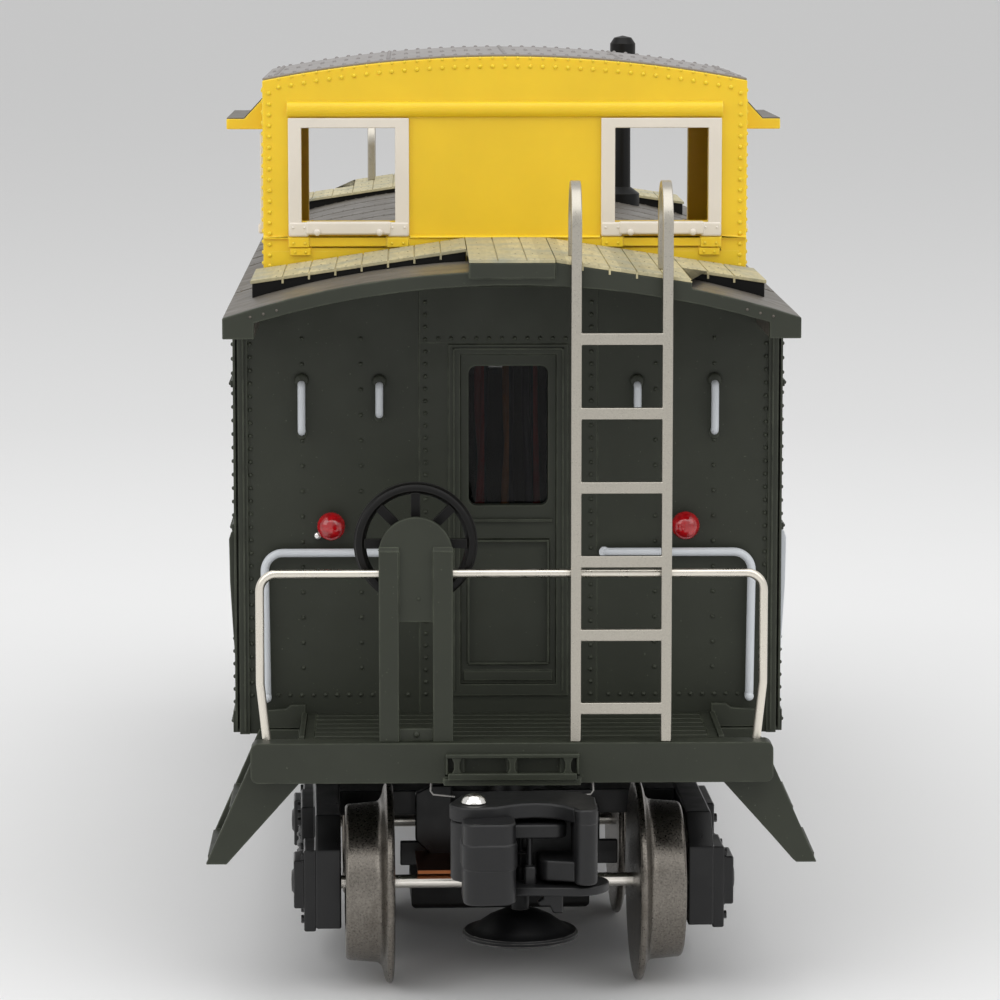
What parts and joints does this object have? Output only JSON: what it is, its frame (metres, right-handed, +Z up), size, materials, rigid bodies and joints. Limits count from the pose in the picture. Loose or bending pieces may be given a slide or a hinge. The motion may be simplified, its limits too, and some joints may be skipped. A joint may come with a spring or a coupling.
{
  "type": "model caboose",
  "caption": "O scale model railway caboose: riveted body, offset cupola, end platforms with ladders and brake wheels, swivelling trucks and opening couplers.",
  "frame": {"origin": "middle of the car at the height of the lowest flanges", "axes": "+Y along the car away from the cupola end, +X to the right seen from the cupola end, +Z up"},
  "size_m": [0.071, 0.2466, 0.1093],
  "materials": {
    "body_green": "satin moulded plastic",
    "roof_grey": "matte painted plastic",
    "cupola_yellow": "satin painted plastic",
    "frame_white": "satin",
    "board_tan": "matte, scribed planks",
    "black_plastic": "satin",
    "frame_black": "satin black paint",
    "screw_steel": "zinc plated",
    "ladder_steel": "bare stamped metal",
    "rail_steel": "bright wire",
    "grab_white": "gloss white paint",
    "lamp_red": "translucent red",
    "window_clear": "clear",
    "circuit_board": "solder mask",
    "wire_insulation": "insulated wires in several colours",
    "truck_black": "satin black die casting",
    "wheel_nickel": "turned, nickel plated",
    "axle_steel": "polished",
    "wiper_copper": "copper leaf",
    "coupler_grey": "blackened die casting",
    "pin_chrome": "polished dome",
    "armature_black": "gloss black",
    "pickup_steel": "stamped and turned"
  },
  "bodies": {
    "carbody": {"body_shell": "body_green", "roof_fascias": "body_green", "platform_front": "body_green", "platform_rear": "body_green", "steps_front": "body_green", "steps_rear": "body_green", "brake_stand_front": "body_green", "brake_stand_rear": "body_green", "end_doors": "body_green", "side_window_frames": "body_green", "roof": "roof_grey", "cupola_roof": "roof_grey", "cupola_shell": "cupola_yellow", "cupola_visors": "cupola_yellow", "cupola_window_frames": "frame_white", "roof_walk_cross": "board_tan", "roof_walk_long": "board_tan", "roof_walk_supports": "black_plastic", "smoke_jack": "black_plastic", "underframe": "frame_black", "assembly_screws": "screw_steel", "ladder_front": "ladder_steel", "ladder_rear": "ladder_steel", "platform_rail_front": "rail_steel", "platform_rail_rear": "rail_steel", "wall_rails": "grab_white", "end_grab_irons": "grab_white", "side_grab_irons": "grab_white", "marker_lamps": "lamp_red", "window_glazing": "window_clear", "light_board": "circuit_board", "interior_wires": "wire_insulation"},
    "brake_wheel_front": {"brake_wheel_front": "black_plastic"},
    "brake_wheel_rear": {"brake_wheel_rear": "black_plastic"},
    "front_truck": {"front_truck_bolster": "truck_black", "front_truck_sideframes": "truck_black", "front_truck_contact_plate": "black_plastic", "front_truck_axle_wiper": "wiper_copper"},
    "front_wheelset_outer": {"front_truck_wheels_outer": "wheel_nickel", "front_truck_axle_outer": "axle_steel"},
    "front_wheelset_inner": {"front_truck_wheels_inner": "wheel_nickel", "front_truck_axle_inner": "axle_steel"},
    "front_coupler": {"front_truck_coupler_body": "coupler_grey", "front_truck_coupler_pin": "pin_chrome"},
    "front_knuckle": {"front_truck_coupler_knuckle": "coupler_grey"},
    "front_armature": {"front_truck_coupler_armature": "armature_black"},
    "rear_truck": {"rear_truck_bolster": "truck_black", "rear_truck_sideframes": "truck_black", "rear_truck_contact_plate": "black_plastic", "rear_truck_axle_wiper": "wiper_copper"},
    "rear_wheelset_outer": {"rear_truck_wheels_outer": "wheel_nickel", "rear_truck_axle_outer": "axle_steel"},
    "rear_wheelset_inner": {"rear_truck_wheels_inner": "wheel_nickel", "rear_truck_axle_inner": "axle_steel"},
    "rear_coupler": {"rear_truck_coupler_body": "coupler_grey", "rear_truck_coupler_pin": "pin_chrome"},
    "rear_knuckle": {"rear_truck_coupler_knuckle": "coupler_grey"},
    "rear_armature": {"rear_truck_coupler_armature": "armature_black"},
    "rear_pickup_arm": {"rear_truck_pickup_arm": "pickup_steel"},
    "rear_pickup_roller": {"rear_truck_pickup_roller": "pickup_steel"}
  },
  "joints": [
    {"name": "front_truck_swivel", "type": "hinge", "parent": "carbody", "child": "front_truck", "pos_m": [0, -0.07, 0.0205], "axis": [0, 0, 1], "range_deg": [-13.5, 10.5]},
    {"name": "front_wheelset_outer_spin", "type": "hinge", "parent": "front_truck", "child": "front_wheelset_outer", "pos_m": [0.00046, -0.08749, 0.012], "axis": [0.9997, 0.0262, 0], "continuous": true},
    {"name": "front_wheelset_inner_spin", "type": "hinge", "parent": "front_truck", "child": "front_wheelset_inner", "pos_m": [-0.00046, -0.05251, 0.012], "axis": [0.9997, 0.0262, 0], "continuous": true},
    {"name": "front_coupler_swing", "type": "hinge", "parent": "front_truck", "child": "front_coupler", "pos_m": [0.00086, -0.10299, 0.02], "axis": [0, 0, 1], "range_deg": [-8, 8]},
    {"name": "front_knuckle_open", "type": "hinge", "parent": "front_coupler", "child": "front_knuckle", "pos_m": [-0.00467, -0.11714, 0.0223], "axis": [0, 0, -1], "range_deg": [0, 50]},
    {"name": "front_armature_pull", "type": "slide", "parent": "front_coupler", "child": "front_armature", "axis": [0, 0, -1], "range_m": [0, 0.0012], "stiffness_N_per_m": 80, "springref_m": -0.001},
    {"name": "brake_wheel_front_turn", "type": "hinge", "parent": "carbody", "child": "brake_wheel_front", "pos_m": [-0.01105, -0.09835, 0.0541], "axis": [0, 1, 0], "continuous": true},
    {"name": "rear_truck_swivel", "type": "hinge", "parent": "carbody", "child": "rear_truck", "pos_m": [0, 0.07, 0.0205], "axis": [0, 0, 1], "range_deg": [-13.5, 10.5]},
    {"name": "rear_wheelset_outer_spin", "type": "hinge", "parent": "rear_truck", "child": "rear_wheelset_outer", "pos_m": [-0.00046, 0.08749, 0.012], "axis": [-0.9997, -0.0262, 0], "continuous": true},
    {"name": "rear_wheelset_inner_spin", "type": "hinge", "parent": "rear_truck", "child": "rear_wheelset_inner", "pos_m": [0.00046, 0.05251, 0.012], "axis": [-0.9997, -0.0262, 0], "continuous": true},
    {"name": "rear_coupler_swing", "type": "hinge", "parent": "rear_truck", "child": "rear_coupler", "pos_m": [-0.00086, 0.10299, 0.02], "axis": [0, 0, 1], "range_deg": [-8, 8]},
    {"name": "rear_knuckle_open", "type": "hinge", "parent": "rear_coupler", "child": "rear_knuckle", "pos_m": [0.00467, 0.11714, 0.0223], "axis": [0, 0, -1], "range_deg": [0, 50]},
    {"name": "rear_armature_pull", "type": "slide", "parent": "rear_coupler", "child": "rear_armature", "axis": [0, 0, -1], "range_m": [0, 0.0012], "stiffness_N_per_m": 80, "springref_m": -0.001},
    {"name": "brake_wheel_rear_turn", "type": "hinge", "parent": "carbody", "child": "brake_wheel_rear", "pos_m": [0.01105, 0.09835, 0.0541], "axis": [0, 1, 0], "continuous": true},
    {"name": "rear_pickup_lift", "type": "hinge", "parent": "rear_truck", "child": "rear_pickup_arm", "pos_m": [-0.00009, 0.0735, 0.0069], "axis": [-0.9997, -0.0262, 0], "range_deg": [0, 7], "stiffness_Nm_per_rad": 0.004, "springref_deg": -14.32},
    {"name": "rear_pickup_roller_spin", "type": "hinge", "parent": "rear_pickup_arm", "child": "rear_pickup_roller", "pos_m": [0.00008, 0.067, 0.0045], "axis": [-0.9997, -0.0262, 0], "continuous": true}
  ]
}
